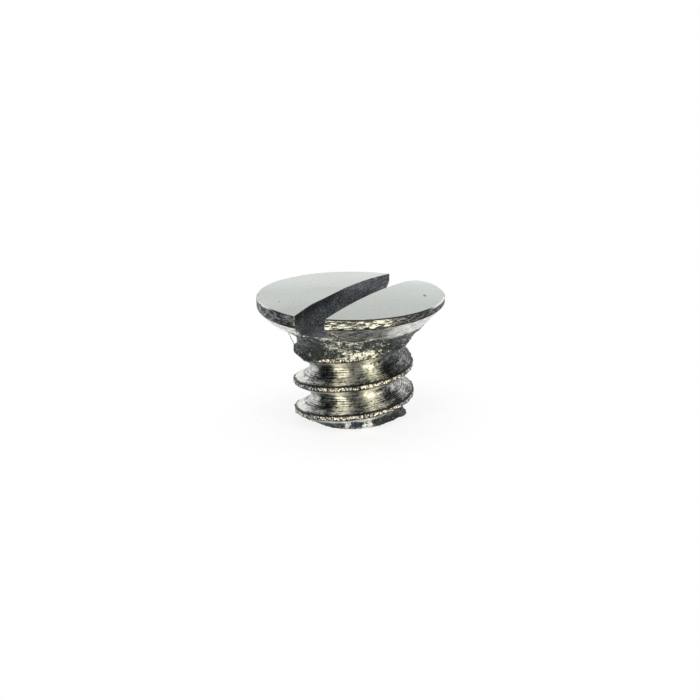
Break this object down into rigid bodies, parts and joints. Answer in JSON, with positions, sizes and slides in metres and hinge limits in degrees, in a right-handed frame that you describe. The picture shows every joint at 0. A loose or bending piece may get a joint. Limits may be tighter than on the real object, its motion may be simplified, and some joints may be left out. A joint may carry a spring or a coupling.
{
  "type": "watch screw",
  "caption": "Tiny one-piece countersunk screw with a low domed slotted head and a short coarse right-hand thread.",
  "frame": {"origin": "centre of the flat end face of the thread", "axes": "+Z along the screw's axis from the end of the thread to the head, +X along the driver slot"},
  "size_m": [0.0016, 0.0016, 0.0011],
  "materials": {
    "polished_steel": "polished crown, turned flanks and rim"
  },
  "bodies": {
    "root": {"screw": "polished_steel"}
  },
  "joints": []
}
